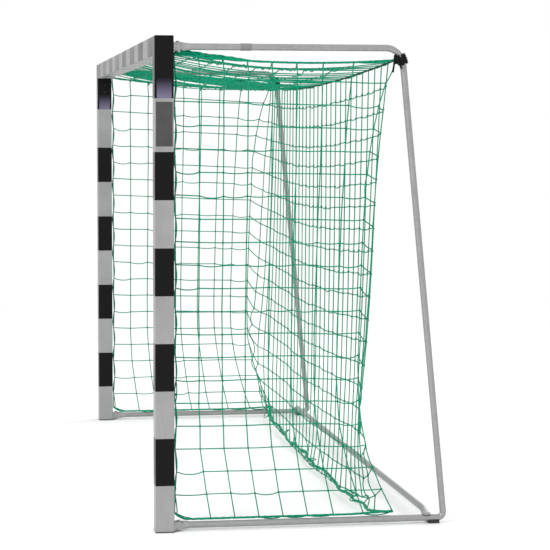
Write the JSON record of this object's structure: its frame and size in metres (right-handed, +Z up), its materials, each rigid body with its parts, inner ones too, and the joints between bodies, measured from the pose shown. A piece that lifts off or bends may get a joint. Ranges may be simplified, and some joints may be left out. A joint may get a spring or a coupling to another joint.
{
  "type": "indoor sports goal with net",
  "caption": "Free-standing indoor hockey and handball goal: banded square posts, folding round-tube net brackets, rear ground bar and square-mesh net.",
  "frame": {"origin": "on the floor, under the middle of the goal's box", "axes": "+X along the crossbar, +Y from the mouth towards the net, +Z up"},
  "size_m": [3.1613, 1.2659, 2.0803],
  "materials": {
    "black_film": "satin",
    "aluminium": "brushed",
    "cast_corner": "cast",
    "zinc_steel": "zinc plated",
    "galvanised_fitting": "galvanised",
    "galvanised_tube": "galvanised",
    "dark_sleeve": "satin",
    "black_plastic": "matte",
    "rubber": "matte",
    "black_cord": "braided",
    "plate": "matte",
    "label": "satin",
    "nylon": "matte",
    "green_net": "braided cord"
  },
  "bodies": {
    "frame": {"post_left": "aluminium", "post_right": "aluminium", "crossbar": "aluminium", "corner_connectors": "cast_corner", "corner_screws": "zinc_steel", "foot_caps": "black_plastic", "post_film_left": "black_film", "post_film_right": "black_film", "corner_film_left": "black_film", "corner_film_right": "black_film", "crossbar_film": "black_film", "notice_plate": "plate", "plain_labels": "label", "hinge_lug_top_left": "galvanised_fitting", "hinge_lug_bottom_left": "galvanised_fitting", "hinge_lug_top_right": "galvanised_fitting", "hinge_lug_bottom_right": "galvanised_fitting", "lug_screws": "zinc_steel", "hinge_bolts": "zinc_steel", "hinge_nuts": "zinc_steel", "net_hooks_left": "black_plastic", "net_hooks_right": "black_plastic", "net_hooks_crossbar": "black_plastic"},
    "bracket_left": {"knuckle_top_left": "galvanised_fitting", "knuckle_bottom_left": "galvanised_fitting", "top_tube_left": "galvanised_tube", "splice_sleeve_left": "dark_sleeve", "rear_leg_left": "galvanised_tube", "ground_tube_left": "galvanised_tube", "rubber_foot_left": "rubber", "corner_tie_left": "black_cord", "pivot_bolt_left": "zinc_steel", "pivot_nut_left": "zinc_steel", "pivot_spacer_left": "nylon", "net_side_left": "green_net"},
    "bracket_right": {"knuckle_top_right": "galvanised_fitting", "knuckle_bottom_right": "galvanised_fitting", "top_tube_right": "galvanised_tube", "splice_sleeve_right": "dark_sleeve", "rear_leg_right": "galvanised_tube", "ground_tube_right": "galvanised_tube", "rubber_foot_right": "rubber", "corner_tie_right": "black_cord", "pivot_bolt_right": "zinc_steel", "pivot_nut_right": "zinc_steel", "pivot_spacer_right": "nylon", "net_side_right": "green_net"},
    "rear_bar": {"rear_bar": "galvanised_tube"},
    "net_rear_left": {"net_rear_left": "green_net"},
    "net_rear_right": {"net_rear_right": "green_net"},
    "net_top": {"net_top": "green_net"}
  },
  "joints": [
    {"name": "bracket_fold", "type": "hinge", "parent": "frame", "child": "bracket_left", "pos_m": [-1.54, -0.5307, 1], "axis": [0, 0, 1], "range_deg": [0, 60]},
    {"name": "bracket_right_fold", "type": "hinge", "parent": "frame", "child": "bracket_right", "pos_m": [1.54, -0.5307, 1], "axis": [0, 0, 1], "range_deg": [0, 60]},
    {"name": "rear_bar_pivot", "type": "hinge", "parent": "bracket_left", "child": "rear_bar", "pos_m": [-1.54, 0.54529, 0.041], "axis": [0, 0, 1], "range_deg": [-60, 0]},
    {"name": "net_rear_left_turn", "type": "hinge", "parent": "bracket_left", "child": "net_rear_left", "pos_m": [-1.54, 0.2853, 1], "axis": [0, 0, 1], "range_deg": [-60, 0]},
    {"name": "net_rear_right_turn", "type": "hinge", "parent": "bracket_right", "child": "net_rear_right", "pos_m": [1.54, 0.2853, 1], "axis": [0, 0, 1], "range_deg": [-60, 0]},
    {"name": "net_top_shift", "type": "slide", "parent": "frame", "child": "net_top", "axis": [-0.866, -0.5, 0], "range_m": [0, 0.8161], "deforming": ["net_top"]}
  ],
  "couplings": [
    {"joint": "bracket_right_fold", "follows": "bracket_fold", "ratio": 1},
    {"joint": "rear_bar_pivot", "follows": "bracket_fold", "ratio": -1},
    {"joint": "net_rear_left_turn", "follows": "bracket_fold", "ratio": -1},
    {"joint": "net_rear_right_turn", "follows": "bracket_fold", "ratio": -1},
    {"joint": "net_top_shift", "follows": "bracket_fold", "m_per_rad": 0.77922}
  ]
}
